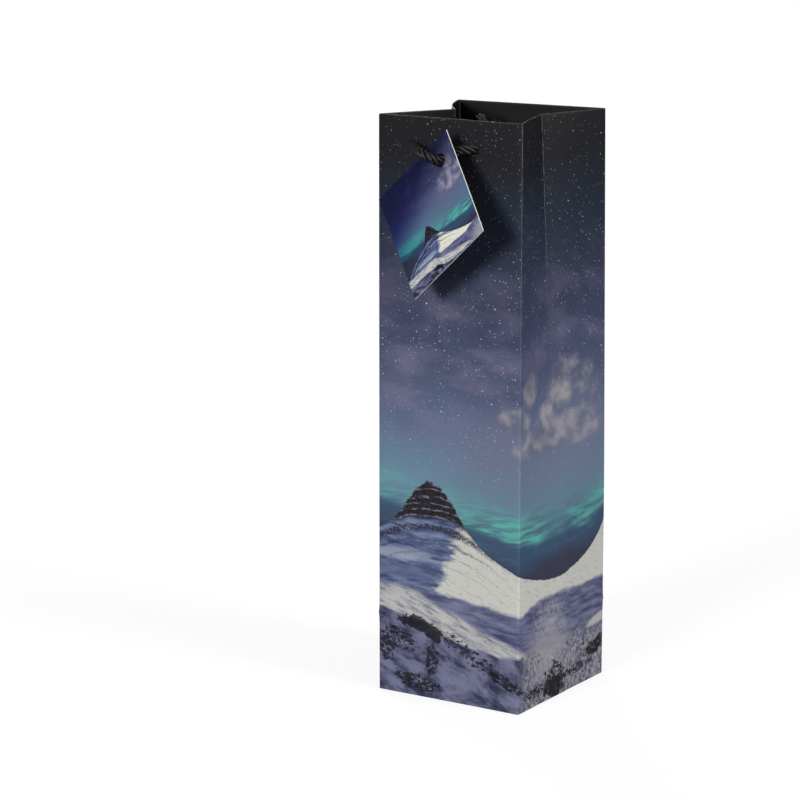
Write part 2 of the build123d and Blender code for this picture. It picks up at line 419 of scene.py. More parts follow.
def gather(net, masks):
    """The strongest of several masks."""
    total = masks[0]
    for mask in masks[1:]:
        total = net.math("MAXIMUM", total, mask)
    return total


def night_sky(net, u, v, where):
    """Charcoal above, slate and teal below, with haze, a cloud bank, a green light and stars."""
    drift = net.sway(30, where, 60, 4, 0.55)
    sky = net.ramp((v + drift) / HEIGHT, SKY)

    mauve = u.rise(26, 84) * v.rise(108, 132) * v.rise(190, 158) * 0.62
    sky = net.mix(mauve, sky, ink(104, 109, 133))

    haze = net.noise(net.along(0.6, u, v, 40), 20, 6, 0.6, 0.4)
    banks = gather(net, [ellipse(u, v, *bank).rise(1.5, 0.0) for bank in BANKS])
    sky = net.mix(banks * haze.rise(0.3, 0.66) * 0.45, sky, ink(116, 114, 142))
    dusk = haze.rise(0.42, 0.7) * v.rise(130, 160) * v.rise(300, 215) * 0.4
    sky = net.mix(dusk, sky, ink(112, 106, 134))

    # The cloud bank lies across the front right edge in loose puffs
    torn = net.noise(net.place(u, v * 1.2, 7), 17, 6, 0.52, 0.2)
    puffs = [ellipse(u, v, *puff).rise(1.9, 0.0) for puff in PUFFS]
    soft = net.math("MULTIPLY", sum(puffs), 0.8, clamp=True)
    bank = (soft + (torn - 0.5) * 1.3).rise(0.1, 1.3)
    bank = bank * soft.rise(0.0, 0.35)
    light = net.mix(torn.rise(0.4, 0.68), ink(96, 99, 118), ink(166, 161, 163))
    sky = net.mix(bank * 0.78, sky, light)

    # Under the light the sky is dark again down to the ridge
    waver = net.sway(12, net.along(0.5, u, v, 1), 16)
    above = v - (net.curve(u, AURORA) + waver)
    low = net.mix(above.rise(-8, -24), ink(56, 78, 104), ink(56, 57, 76))
    sky = net.mix(above.rise(2, -6), sky, low)

    streaks = net.noise(net.place(u * 0.16, v + u * -0.04, 3), 3.4, 5, 0.62)
    broad = net.noise(net.along(0.5, u, v, 9), 30, 3)
    glow = above.rise(-8, 3) * above.rise(50, 4) * streaks.rise(0.18, 0.7)
    sky = net.mix(glow * 0.55, sky, ink(84, 136, 148))
    core = above.rise(-5, 0) * above.rise(22, 3) * streaks.rise(0.34, 0.64)
    gap = abs(u - 137).rise(6, 18)
    core = core * broad.rise(0.3, 0.56) * (0.35 + gap * 0.65)
    sky = net.mix(core * 0.8, sky, ink(92, 182, 166))
    below = above.rise(-22, -10) * above.rise(-1, -6) * streaks.rise(0.5, 0.7)
    sky = net.mix(below * 0.5, sky, ink(70, 108, 132))

    # Stars: a few large and many small, thinner towards the horizon and behind cloud
    clump = net.noise(net.place(u, v, 21), 24, 3).rise(0.1, 0.5)
    shown = v.rise(112, 175) * (1.0 - bank * 0.8)
    shown = shown * (1.0 - v.rise(270, 330) * 0.5)
    for size, radius, odds, power in STARS:
        distance, chance = net.cells(net.place(u, v, size), size)
        dot = (distance * size).rise(radius, radius * 0.3)
        pick = chance.rise(1 - odds, 1.1)
        sky = net.mix(dot * pick * power * clump * shown, sky, ink(238, 240, 248))

    # The margin turned in at the mouth is painted near black: painted shade for the dark inside of the
    # mouth
    return net.mix(v.rise(HEIGHT - 0.2, HEIGHT + 0.6), sky, ink(8, 8, 10))


def snow_mountain(net, u, v, where):
    """A peak with a banded rock cap, blue in its own shadow on the left and lit on the right."""
    grain = net.noise(where, 1.3, 6, 0.72)
    long = net.noise(net.place(u * 0.2, v + u * 0.05, 2), 3.2, 5, 0.6)
    shade = net.mix(long.rise(0.32, 0.7), ink(54, 68, 106), ink(124, 136, 168))
    # A pale drift and a dim one cross the shadow at the foot
    wavy = v + (long - 0.5) * 9
    pale = ellipse(u, wavy, 12, 87, 30, 4, 0.04).rise(1.3, 0.1)
    shade = net.mix(pale * 0.6, shade, ink(158, 164, 182))
    dim = ellipse(u, wavy, 20, 77, 36, 5.5, -0.05).rise(1.3, 0.2)
    shade = net.mix(dim * 0.6, shade, ink(78, 84, 118))

    down = u * 0.9 + v * -0.6
    slope = net.along(0.2, down, v + u * 0.45, 5)
    folds = net.noise(slope, 1.7, 7, 0.7)
    lit = net.mix(folds.rise(0.5, 0.8), ink(196, 196, 190), ink(120, 120, 132))
    lit = net.mix(grain.rise(0.5, 0.7) * 0.25, lit, ink(126, 128, 140))
    creep = net.sway(34, net.along(0.5, u, v, 0), 7, 7, 0.68)
    edge = (v - 72) * 0.42 + 43 + creep
    snow = net.mix((u - edge).rise(-3.5, 3.5), shade, lit)

    # Rock bands follow the peak's round sides, thick in the cap and thin lower down
    droop = (u - 37)**2 / 150
    rough = net.sway(6, net.along(0.5, u, v, 4), 6, 6, 0.66)
    level = v + droop + rough
    rock = net.mix(grain.rise(0.42, 0.68), ink(10, 10, 14), ink(60, 56, 62))
    cap = level.rise(109, 113) * u.rise(86, 68)
    snow = net.mix(cap, snow, rock)
    uneven = net.noise(net.along(0.12, u, v, 6), 5, 3) * 7
    ledges = net.math("SINE", level * 1.6 + uneven).rise(0.4, 0.9)
    caught = net.noise(net.along(0.5, u, v, 8), 2.4, 5, 0.7).rise(0.42, 0.6)
    caught = ledges * cap * caught
    snow = net.mix(caught * 0.75, snow, ink(122, 124, 148))
    for height, thick, share in ROCK_BANDS:
        off = abs(level - height)
        line = off.rise(thick, thick * 0.3) * grain.rise(0.4, 0.52) * share
        line = line * u.rise(96, 62)
        snow = net.mix(line, snow, ink(34, 34, 44))
    return snow


def snow_fields(net, u, v, where, scene):
    """The fields below the mountain: violet shadow, a lit field, stones along it and scrub on the right."""
    ripple = net.sway(8, net.along(0.5, u, v, 0), 9, 5, 0.6)
    level = v + ripple
    drifts = net.noise(net.place(u * 0.2, v + u * 0.06, 12), 3.2, 6, 0.62)
    violet = net.mix(drifts.rise(0.3, 0.72), ink(58, 63, 98), ink(122, 125, 152))
    below = level - net.curve(u, SLOPE_FOOT)
    scene = net.mix(below.rise(1.6, -1.6), scene, violet)

    slant = net.along(0.16, u - v, u * 0.36 + v, 5)
    strokes = net.noise(slant, 2.2, 7, 0.72)
    lit = net.mix(strokes.rise(0.4, 0.72), ink(186, 186, 184), ink(92, 92, 110))
    above_foot = level - net.curve(u, FIELD_FOOT)
    inside = (level - net.curve(u, FIELD_TOP)).rise(2.5, -2.5)
    inside = inside * above_foot.rise(-1.6, 1.6)
    scene = net.mix(inside * 0.92, scene, lit)

    # The near ground is darker and bluer on the left, and broken by scrub and stones on the right
    near = above_foot.rise(0.8, -1.2)
    swell = net.noise(net.along(0.55, u, v + u * 0.3, 14), 8, 7, 0.66)
    ground = net.mix(swell.rise(0.34, 0.62), ink(42, 45, 72), ink(112, 114, 142))
    scene = net.mix(near * u.rise(112, 96), scene, ground)
    scrub = net.noise(net.place(u, v * 0.8, 15), 2.4, 6, 0.78)
    patch = u.rise(96, 112) * (v + ripple * 1.5).rise(46, 26)
    speckle = net.mix(scrub.rise(0.38, 0.62), ink(56, 56, 76), ink(168, 166, 172))
    scene = net.mix(patch * 0.8, scene, speckle)
    uneven = scrub - 0.5
    frost = (ellipse(u, v, 132, 38, 22, 24) + uneven * 6).rise(1.5, -0.3)
    scene = net.mix(frost * 0.55, scene, ink(168, 166, 170))
    snow = (ellipse(u, v, 194, 37, 16, 3, 0.12) + uneven * 3).rise(1.2, 0.5)
    scene = net.mix(snow * 0.8, scene, ink(186, 184, 182))

    # Stones lie along the lit field's foot and across the near ground on the right
    pebbles = net.noise(net.place(u, v * 1.3, 33), 2.6, 6, 0.72)
    shape = net.sway(4, net.place(u, v, 34), 6, 5, 0.7)
    dark = []
    for *place, solid in ROCKS:
        inner = (ellipse(u, v, *place) + shape).rise(1.1, 0.85)
        least = 0.56 - solid * 0.36
        dark.append(inner * pebbles.rise(least, least + 0.03))
    stone = net.mix(scrub.rise(0.5, 0.7), ink(12, 12, 17), ink(62, 60, 66))
    return net.mix(gather(net, dark) * 0.93, scene, stone)


def landscape(net, u, v, fields_v=None):
    """The whole picture: sky, then mountain, then fields, whose heights may be given apart."""
    where = net.place(u, v)
    sky = night_sky(net, u, v, where)
    jag = 2.6 + v.rise(100, 112) * 8
    ridge = net.curve(u, RIDGE) + net.sway(jag, where, 4.5, 6, 0.72)
    scene = net.mix((v - ridge).rise(0.35, -0.35), sky, snow_mountain(net, u, v, where))
    return snow_fields(net, u, v if fields_v is None else fields_v, where, scene)


CREASES = (0, 98, 149, 200, 298, 349, 400)  # where the sheet folds, in u


def printed_paper():
    """Matt laminated print, rubbed pale along the folds and the top edge."""
    net = Net(bpy.data.materials.new("printed_paper"))
    u, v = net.flat_place("sheet")
    picture = landscape(net, net.math("WRAP", u, PICTURE_WIDTH, 0.0), v)
    fold = abs(v - HEIGHT) + 0.25
    for crease in CREASES:
        fold = net.math("MINIMUM", fold, abs(u - crease))
    where = net.place(u, v)
    rubbed = fold.rise(0.7, 0.1) * net.noise(where, 5, 6, 0.7).rise(0.3, 0.62)
    rubbed = rubbed * (0.15 + v.rise(190, 320) * 0.85)
    colour = net.mix(rubbed * 0.34, picture, ink(150, 150, 150))
    grain = net.noise(where, 0.5, 3, 0.6)
    return net.surface(colour, 0.46, (grain, 0.02, 0.5), Specular_IOR_Level=0.22)


def plain_fibre(name, light, dark, size):
    """Uncoated paper or card: fine fibres and a faint mottle, from the piece's own coordinates."""
    net = Net(bpy.data.materials.new(name))
    where = net.own_place()
    fibres = net.noise(where, size, 6, 0.7, 0.8)
    mottle = net.noise(where, size * 14, 3)
    colour = net.mix(fibres * 0.6 + mottle * 0.4, dark, light)
    return net.surface(colour, 0.86, (fibres, 0.05, 0.6), Specular_IOR_Level=0.25)


def rope_fibre():
    """Black twisted yarn: fine fibres run along each strand, with a soft painted sheen on their tops and
    painted shade deep in the lay.
    """
    net = Net(bpy.data.materials.new("rope_fibre"))
    length, turn = net.flat_place("lay")
    around = turn * 9.0 + length * 0.9
    fibres = net.noise(net.along(0.6, length, around, 0.0), 0.55, 5, 0.7)
    # The way round is 0 on a strand's outermost line and 0.5 deep in the lay. The colour is painted lighter
    # on the outer line as painted sheen and darker deep in the lay as painted shade.
    crown_sheen_groove_shade = net.math("COSINE", turn * math.tau)
    tone = crown_sheen_groove_shade.rise(-0.1, 1.0) * 0.7 + fibres.rise(0.35, 0.7) * 0.3
    colour = net.mix(tone, ink(3, 3, 4), ink(33, 33, 35))
    return net.surface(colour, 0.5, (fibres, 0.12, 0.8), Specular_IOR_Level=0.35)


PRINT = printed_paper()
BARE_PAPER = plain_fibre("bare_paper", ink(214, 212, 206), ink(188, 186, 180), 1.2)
GREY_BOARD = plain_fibre("grey_board", ink(176, 172, 164), ink(134, 130, 122), 1.6)
ROPE_BLACK = rope_fibre()


# The shape of the folded sheet. Sides and corners are counted anticlockwise from the front left.

FRONT, RIGHT_NEAR, RIGHT_FAR, BACK, LEFT_FAR, LEFT_NEAR = range(6)
SIDE_LENGTHS = (WIDTH, DEPTH / 2, DEPTH / 2) * 2
SIDE_SAMPLES = (26, 16, 16) * 2
FOLD_START = 120.0
FOLD_SOFTNESS = 30.0  # the walls start to lean in gradually about this far round FOLD_START
BASE_CREASE = 48.0  # the fold left all round from when the bag was flat
CREASE_PINCH, PINCH_REACH = 0.45, 2.5  # how far its corners stand out, and over what height
CREASE_RIDGE, RIDGE_REACH = 0.3, 4.0  # the same for its sides
BASE_BULGE = 1.3  # how far the gussets stand out at it
RIPPLE, RIPPLE_SIZE = 0.55, 70.0  # the walls' unevenness
CORNER_SOFT = 0.9  # a fold's rounding, along the paper on each side
# How far each gusset's middle crease stands in from the panels' edges, at each height
RIGHT_CREASE_IN = ((0, 0), (BASE_CREASE, -BASE_BULGE), (110, -2.2), (145, 0.8), (210, 9.6), (280, 13.0),
                   (HEIGHT, RIGHT_FOLD_IN))
LEFT_CREASE_IN = ((0, 0), (BASE_CREASE, -BASE_BULGE), (100, -1.2), (150, 1.5), (210, 8.5), (280, 16.5),
                  (HEIGHT, LEFT_FOLD_IN))


def through(points, place):
    """A smooth curve's value at a place, through points given as (place, value)."""
    for i in range(len(points) - 1):
        if place <= points[i + 1][0]:
            break
    (x0, y0), (x1, y1) = points[i], points[i + 1]
    before = points[max(i - 1, 0)]
    after = points[min(i + 2, len(points) - 1)]
    slope_in = (y1 - before[1]) / (x1 - before[0])
    slope_out = (after[1] - y0) / (after[0] - x0)
    run = x1 - x0
    t = (place - x0) / run
    return (
        (2 * t**3 - 3 * t**2 + 1) * y0
        + (t**3 - 2 * t**2 + t) * run * slope_in
        + (3 * t**2 - 2 * t**3) * y1
        + (t**3 - t**2) * run * slope_out
    )


def lean(height):
    """The share of the way from the base outline to the mouth outline."""
    def soft(over):
        return (over + math.sqrt(over**2 + FOLD_SOFTNESS**2)) / 2
    return soft(height - FOLD_START) / soft(HEIGHT - FOLD_START)


def outline(height):
    """The six corners of the bag's outside at a height."""
    half = DEPTH / 2
    x = WIDTH / 2
    share = lean(height)
    right_run = math.sqrt(half**2 - RIGHT_FOLD_IN**2) * share + half * (1 - share)
    left_run = math.sqrt(half**2 - LEFT_FOLD_IN**2) * share + half * (1 - share)
    corners = [
        Vector((-x, -half)),
        Vector((x, -half)),
        Vector((x - through(RIGHT_CREASE_IN, height), right_run - half)),
        Vector((x, 2 * right_run - half)),
        Vector((-x, 2 * left_run - half)),
        Vector((through(LEFT_CREASE_IN, height) - x, left_run - half)),
    ]
    pinch = CREASE_PINCH * math.exp(-abs(height - BASE_CREASE) / PINCH_REACH)
    return [corner + corner.normalized() * pinch for corner in corners]


def inward(start, end):
    """The unit normal of one side, pointing into the bag."""
    along = (end - start).normalized()
    return Vector((-along.y, along.x))


def inset(height, panel_depth, gusset_depth):
    """The corners moved in from the outside, by one distance on the panels and another on the gussets."""
    corners = outline(height)
    depths = [panel_depth if side in (FRONT, BACK) else gusset_depth for side in range(6)]
    moved = []
    for i, corner in enumerate(corners):
        first = inward(corners[i - 1], corner)
        second = inward(corner, corners[(i + 1) % 6])
        toward = first.dot(second)
        if depths[i - 1] == depths[i]:
            shift = (first + second) * (depths[i] / (1 + toward))
        else:
            spread = 1 - toward**2
            shift = first * ((depths[i - 1] - toward * depths[i]) / spread)
            shift += second * ((depths[i] - toward * depths[i - 1]) / spread)
        moved.append(corner + shift)
    return moved


def bow(side, share, height):
    """How far the paper stands out from a flat side, in millimetres."""
    middle = 4 * share * (1 - share)
    up = height / HEIGHT
    swell = math.sin(math.pi * up)
    bows = {
        FRONT: -0.3 * swell, RIGHT_NEAR: -0.9 * up, RIGHT_FAR: 0.7 * up,
        BACK: 0.7 * swell, LEFT_FAR: 3.0 * up**3, LEFT_NEAR: 0.8 * up,
    }
    ripple = RIPPLE * noise.noise(Vector((share * 1.7 + side * 3.1, height / RIPPLE_SIZE, 0.5)))
    near_holes = side in (FRONT, BACK)  # stiffened by the cards
    settle = max(0.0, min(1.0, (HEM_FOOT - 6 - height) / 40)) if near_holes else 1.0
    out = middle * (bows[side] * (settle if near_holes else 1.0) + ripple * settle)
    out += CREASE_RIDGE * math.exp(-abs(height - BASE_CREASE) / RIDGE_REACH) * min(1.0, middle * 3)
    if height < BASE_CREASE and side not in (FRONT, BACK):
        to_corner = share if side in (RIGHT_NEAR, LEFT_FAR) else 1 - share
        rise = height / BASE_CREASE
        out += BASE_BULGE * (min(rise, to_corner) - to_corner * rise)
    return out


def side_point(corners, side, share, height):
    """A point on one side of the ring, with the paper's bow."""
    start, end = corners[side], corners[(side + 1) % 6]
    return start.lerp(end, share) - inward(start, end) * bow(side, share, height)


def columns():
    """Where the mesh's upright lines stand.

    Each entry is (side, share along it or None at a fold, how far round a fold, u).
    """
    found = []
    reached = 0.0
    for side, length in enumerate(SIDE_LENGTHS):
        edge = CORNER_SOFT / length
        for i in range(SIDE_SAMPLES[side]):
            share = edge + (1 - 2 * edge) * i / (SIDE_SAMPLES[side] - 1)
            found.append((side, share, 0.0, reached + share * length))
        reached += length
        for i in (1, 2, 3):
            found.append((side, None, i / 4, reached + (i / 2 - 1) * CORNER_SOFT))
    return found


COLUMNS = columns()


def ring(height, panel_depth, gusset_depth):
    """The sheet's points round the bag at a height and a depth in from the outside."""
    corners = inset(height, panel_depth, gusset_depth)
    points = []
    for side, share, round_fold, _ in COLUMNS:
        if share is None:
            after = (side + 1) % 6
            start = side_point(corners, side, 1 - CORNER_SOFT / SIDE_LENGTHS[side], height)
            end = side_point(corners, after, CORNER_SOFT / SIDE_LENGTHS[after], height)
            fold = corners[after]
            point = start.lerp(fold, round_fold).lerp(fold.lerp(end, round_fold), round_fold)
        else:
            point = side_point(corners, side, share, height)
        points.append(Vector((point.x, point.y, height)))
    return points


GUSSET_STACK = 2 * PAPER + 0.1
TOP_ROUND = (  # how far below the mouth, share of the way from outside to inside
    (-0.7, 0.0), (-0.25, 0.05), (-0.07, 0.2), (0.0, 0.42),
    (0.0, 0.58), (-0.07, 0.8), (-0.25, 0.95), (-0.7, 1.0),
)


def levels(low, high, step):
    """Evenly spaced heights from low to high."""
    count = max(1, round((high - low) / step))
    return [low + (high - low) * i / count for i in range(count + 1)]


def sheet_profile():
    """The sheet's closed section: up the outside, over the mouth, down the hem and back inside the wall.

    Each entry is (height, depth on panels, depth on gussets, v, whether the strip that follows is printed).
    """
    # The rows stand close together at the base crease
    wall = [0.0, 0.4, 1.5] + levels(4, 44, 4) + levels(45, 51, 1) + levels(55, HEM_FOOT, 5)
    hem = levels(HEM_FOOT + 5, HEIGHT - 1.5, 5)
    section = [(height, 0.0, 0.0, height, True) for height in wall + hem]
    for drop, share in TOP_ROUND:
        v = HEIGHT + drop * (1 - 2 * share)
        section.append((HEIGHT + drop, STACK * share, GUSSET_STACK * share, v, True))
    for height in reversed(hem):
        section.append((height, STACK, GUSSET_STACK, 2 * HEIGHT - height, True))
    hem_back, gusset_hem_back = STACK - PAPER, GUSSET_STACK - PAPER
    section += [
        (HEM_FOOT, STACK, GUSSET_STACK, 2 * HEIGHT - HEM_FOOT, False),
        (HEM_FOOT, hem_back, gusset_hem_back, 2 * HEIGHT - HEM_FOOT, False),
        (HEIGHT - PAPER, hem_back, gusset_hem_back, HEIGHT, False),
        (HEIGHT - PAPER, PAPER, PAPER, HEIGHT, False),
    ]
    section += [(height, PAPER, PAPER, height, False) for height in reversed(wall)]
    return section


def add_sheet():
    """The whole sheet above the floor as one continuous folded skin."""
    section = sheet_profile()
    points = []
    rings = []
    for height, panel_depth, gusset_depth, _, _ in section:
        points += ring(height, panel_depth, gusset_depth)
        rings.append(newest(points, len(COLUMNS)))
    faces = []
    for here, after in zip(rings, rings[1:] + rings[:1]):
        faces += band(here, after)
    piece = add_mesh("folded_sheet", points, faces, PRINT)
    piece.data.materials.append(BARE_PAPER)
    layer = piece.data.uv_layers.new(name="sheet")
    us = [column[3] for column in COLUMNS] + [COLUMNS[0][3] + sum(SIDE_LENGTHS)]
    vs = [row[3] for row in section] + [section[0][3]]
    for polygon in piece.data.polygons:
        row, column = divmod(polygon.index, len(COLUMNS))
        polygon.material_index = 0 if section[row][4] else 1
        u0, u1, v0, v1 = us[column], us[column + 1], vs[row], vs[row + 1]
        for loop, place in zip(polygon.loop_indices, ((u0, v0), (u1, v0), (u1, v1), (u0, v1))):
            layer.data[loop].uv = place
    return piece


def hole_plane(side, middle_x):
    """A frame on a panel's outside at its rope holes: x along the panel, y up it, z out of the bag."""
    low, high = outline(HOLE_HEIGHT), outline(HEIGHT)
    start, end = low[side], low[side + 1]
    share = (middle_x - start.x) / (end.x - start.x)
    here = start.lerp(end, share)
    above = high[side].lerp(high[side + 1], share)
    x_axis = (end - start).normalized().to_3d()
    y_axis = Vector((above.x - here.x, above.y - here.y, HEIGHT - HOLE_HEIGHT)).normalized()
    z_axis = x_axis.cross(y_axis)
    plane = Matrix((x_axis, y_axis, z_axis)).transposed().to_4x4()
    plane.translation = Vector((here.x, here.y, HOLE_HEIGHT))
    return plane


FRONT_HOLES = hole_plane(FRONT, FRONT_HOLES_X)
BACK_HOLES = hole_plane(BACK, 0.0)
ROPE_HOLE = 4.8  # snug: the strands press into the paper
HOLE_SIDES = 40


def bore(piece, centres, diameter, reach):
    """Cuts round holes through a piece, along a frame's z. Each centre is (frame, x)."""
    points = []
    faces = []
    for matrix, x in centres:
        rings = []
        for depth in (-reach, reach):
            for i in range(HOLE_SIDES):
                angle = math.tau * i / HOLE_SIDES
                out = Vector((math.cos(angle), math.sin(angle), 0)) * diameter / 2
                points.append(matrix @ (Vector((x, 0, depth)) + out))
            rings.append(newest(points, HOLE_SIDES))
        faces += tube(rings)
    cutter = add_object("cutter", bare_mesh("cutter", points, faces))
    modifier = piece.modifiers.new("holes", "BOOLEAN")
    modifier.operation = "DIFFERENCE"
    modifier.solver = "EXACT"
    modifier.object = cutter
    cut = bpy.data.meshes.new_from_object(piece.evaluated_get(bpy.context.evaluated_depsgraph_get()))
    piece.modifiers.clear()
    piece.data = cut
    bpy.data.meshes.remove(cutter.data)  # its object goes with it


# Ropes. Each route repeats the CAD tube's points.

PIVOT_OUT = 3.4
KNOT_LENGTH = 17.0
KNOT_ORBIT = 4.3
KNOT_TURNS = 1.55
KNOT_STEPS = 24
KNOT_WRAP_END = 3.2  # the wraps stop this far short of the knot's ends
STRAIGHT_TAIL = (-0.6, 0.9, 9.0)
RAISED_TAIL = (-0.8, 11.0, 6.0)


def knot_line(at, along, tail):
    """An overhand knot pulled tight: the rope runs up its axis, wraps back round itself and leaves again.

    The tail is where the rope ends, counted from the knot's far end.
    """
    turn = along.to_track_quat("Z", "Y").to_matrix().to_4x4()
    turn.translation = at
    half = KNOT_LENGTH / 2
    top = half - KNOT_WRAP_END
    points = [(0, 0, -half), (0, 0, 0), (0.6, 0, top - 1)]
    for i in range(KNOT_STEPS + 1):
        share = i / KNOT_STEPS
        angle = math.tau * KNOT_TURNS * share
        points.append((KNOT_ORBIT * math.cos(angle), KNOT_ORBIT * math.sin(angle), top * (1 - 2 * share)))
    points += [(-1.2, -1.0, -top + 2), (-1.6, -0.6, 2), (-1.4, 0.2, half)]
    points.append(Vector((0, 0, half)) + Vector(tail))
    return smooth_line([turn @ Vector(point) for point in points])


def add_cord(name, route, replaced):
    """A rope along a route, standing in for a CAD piece, which is hidden."""
    line = smooth_line(route)
    piece = add_rope(name, line, ROPE_BLACK)
    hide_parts(replaced)
    return piece


def add_knot(name, at, along, tail=STRAIGHT_TAIL):
    """One knot, riding on the bag in place of its CAD barrel."""
    piece = add_rope(name + "_rope", knot_line(at, along, tail), ROPE_BLACK)
    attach(piece, "bag")
    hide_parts(name)
    return piece


FRONT_BEND = ((-6.3, -71.6, 331.9), (3.2, -64.9, 325.6), (9.6, -58.2, 333.4))  # the V the tag hangs in
FRONT_ENDS = {  # the rope inside each front hole, as steps from the hole's outside
    "left": ((0, 0, 0), (0, 8.5, -0.5), (-0.6, 12.5, -10.0), (-1.6, 10.0, -29.0), (-0.4, 8.8, -56.0),
             (0.8, 9.6, -76.0)),
    "right": ((0, 0, 0), (0, 8.5, -0.4), (0.4, 12.8, -9.8), (1.8, 10.4, -28.0), (0.6, 9.0, -58.0),
              (-0.9, 9.8, -82.0)),
}


def add_front_rope():
    """The V outside with the tag on it, and a knotted end hanging inside each hole."""
    left, right = (Vector((FRONT_HOLES_X + x, -DEPTH / 2, HOLE_HEIGHT)) for x in HOLE_PAIR)
    out = Vector((0, -PIVOT_OUT, 0))
    route = [left, left + out, *FRONT_BEND, right + out, right]
    loop = add_cord("front_rope_outside", route, "front_rope_loop")
    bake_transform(loop)

    for side, hole in (("left", left), ("right", right)):
        route = [hole + Vector(step) for step in FRONT_ENDS[side]]
        along = (route[-1] - route[-2]).normalized()
        knot = add_knot(f"front_{side}_knot", route[-1] + along * (KNOT_LENGTH / 2), along)
        replaced = f"front_rope_{side}_end"
        end = add_cord(f"front_rope_inside_{side}", route, replaced)
        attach(end, "bag")


def add_back_rope():
    """The full loop behind the bag, from the knot inside one hole to the knot inside the other."""
    half = HOLE_SPACING / 2
    for side, x in (("left", half), ("right", -half)):
        inner = BACK_HOLES @ Vector((x, 0, -STACK - 0.2 - KNOT_LENGTH / 2))
        along = -BACK_HOLES.to_3x3().col[2]
        add_knot(f"back_{side}_knot", inner, along, RAISED_TAIL)
    route = [
        (half, 0, -STACK), (half, 0, PIVOT_OUT), (half + 0.8, -9.0, 8.6), (half + 2.6, -27.0, 9.4),
        (half + 0.8, -60.0, 7.6), (half - 7.4, -84.0, 5.8), (5.6, -95.2, 5.0), (-9.6, -94.0, 5.2),
        (-half + 4.6, -77.0, 6.2), (-half - 1.4, -51.0, 8.0), (-half - 2.2, -24.0, 9.6),
        (-half - 0.6, -8.6, 8.4), (-half, 0, PIVOT_OUT), (-half, 0, -STACK),
    ]
    placed = [BACK_HOLES @ Vector(point) for point in route]
    loop = add_cord("back_rope", placed, "back_rope_loop")
    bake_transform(loop)


# The tag: a square card hung by its top right corner

TAG = 70.0
TAG_THICKNESS = 0.6
TAG_HOLE_INSET = 12.6
TAG_HOLE = 8.4
TAG_HOLE_AT = Vector((2.8, -64.9, 327.5))
TAG_TURNS = (("X", 90), ("Y", -41.4), ("X", -10.3), ("Z", -19.8))  # stood up, then hung
TAG_CURL = 0.5
TAG_STEPS = 28
PEAK_AT = (36, 133)  # the peak in the landscape
TAG_PEAK_AT = (-6.0, -4.0)  # the peak on the card, from its middle


def tag_frame():
    """The tag's frame at its hole: x to the picture's right, y up the picture, z out of its face."""
    placed = Matrix.Identity(4)
    for axis, degrees in TAG_TURNS:
        placed = Matrix.Rotation(math.radians(degrees), 4, axis) @ placed
    placed.translation = TAG_HOLE_AT
    return placed


def tag_print():
    """A small view of the same landscape under a deep blue sky, on matt laminated card."""
    net = Net(bpy.data.materials.new("tag_print"))
    x, y = net.flat_place("card")
    aside, above = x - TAG_PEAK_AT[0], y - TAG_PEAK_AT[1]
    # The landscape is drawn smaller, most of all across the peak and in the fields' height
    narrowing = net.math("EXPONENT", (aside / 9.0)**2 * -1)
    u = aside * (narrowing * 1.4 + 2.35) + PEAK_AT[0]
    picture = landscape(net, u, above * 2.65 + PEAK_AT[1], above * 3.3 + PEAK_AT[1])
    where = net.place(x, y)
    torn = net.noise(where, 7, 6, 0.62, 0.6)
    streaks = net.noise(net.place(x * 0.2, y, 3), 1.4, 5, 0.6)
    glow = ellipse(x, y, -27, -5.5, 18, 4.5).rise(1.4, 0.2)
    glow = glow * streaks.rise(0.3, 0.6) * 0.7
    picture = net.mix(glow, picture, ink(72, 172, 166))
    cloud = ellipse(x, y, 25, 9, 14, 6, 0.15).rise(1.5, 0.3)
    cloud = cloud * torn.rise(0.4, 0.66) * 0.5
    picture = net.mix(cloud, picture, ink(196, 184, 200))
    corner = (x * -0.6 + y).rise(-6, 30)
    deep = net.mix(y.rise(-16, -7), (1.7, 1.7, 1.62, 1.0), (1.25, 1.25, 1.3, 1.0))
    deep = net.mix(corner, deep, ink(110, 114, 190))
    contrast = net.value("Gamma", {"Color": picture, "Gamma": 1.25})
    colour = net.mix(1.0, contrast, deep, blend="MULTIPLY")
    grain = net.noise(where, 0.5, 3, 0.6)
    return net.surface(colour, 0.4, (grain, 0.02, 0.5), Specular_IOR_Level=0.25)


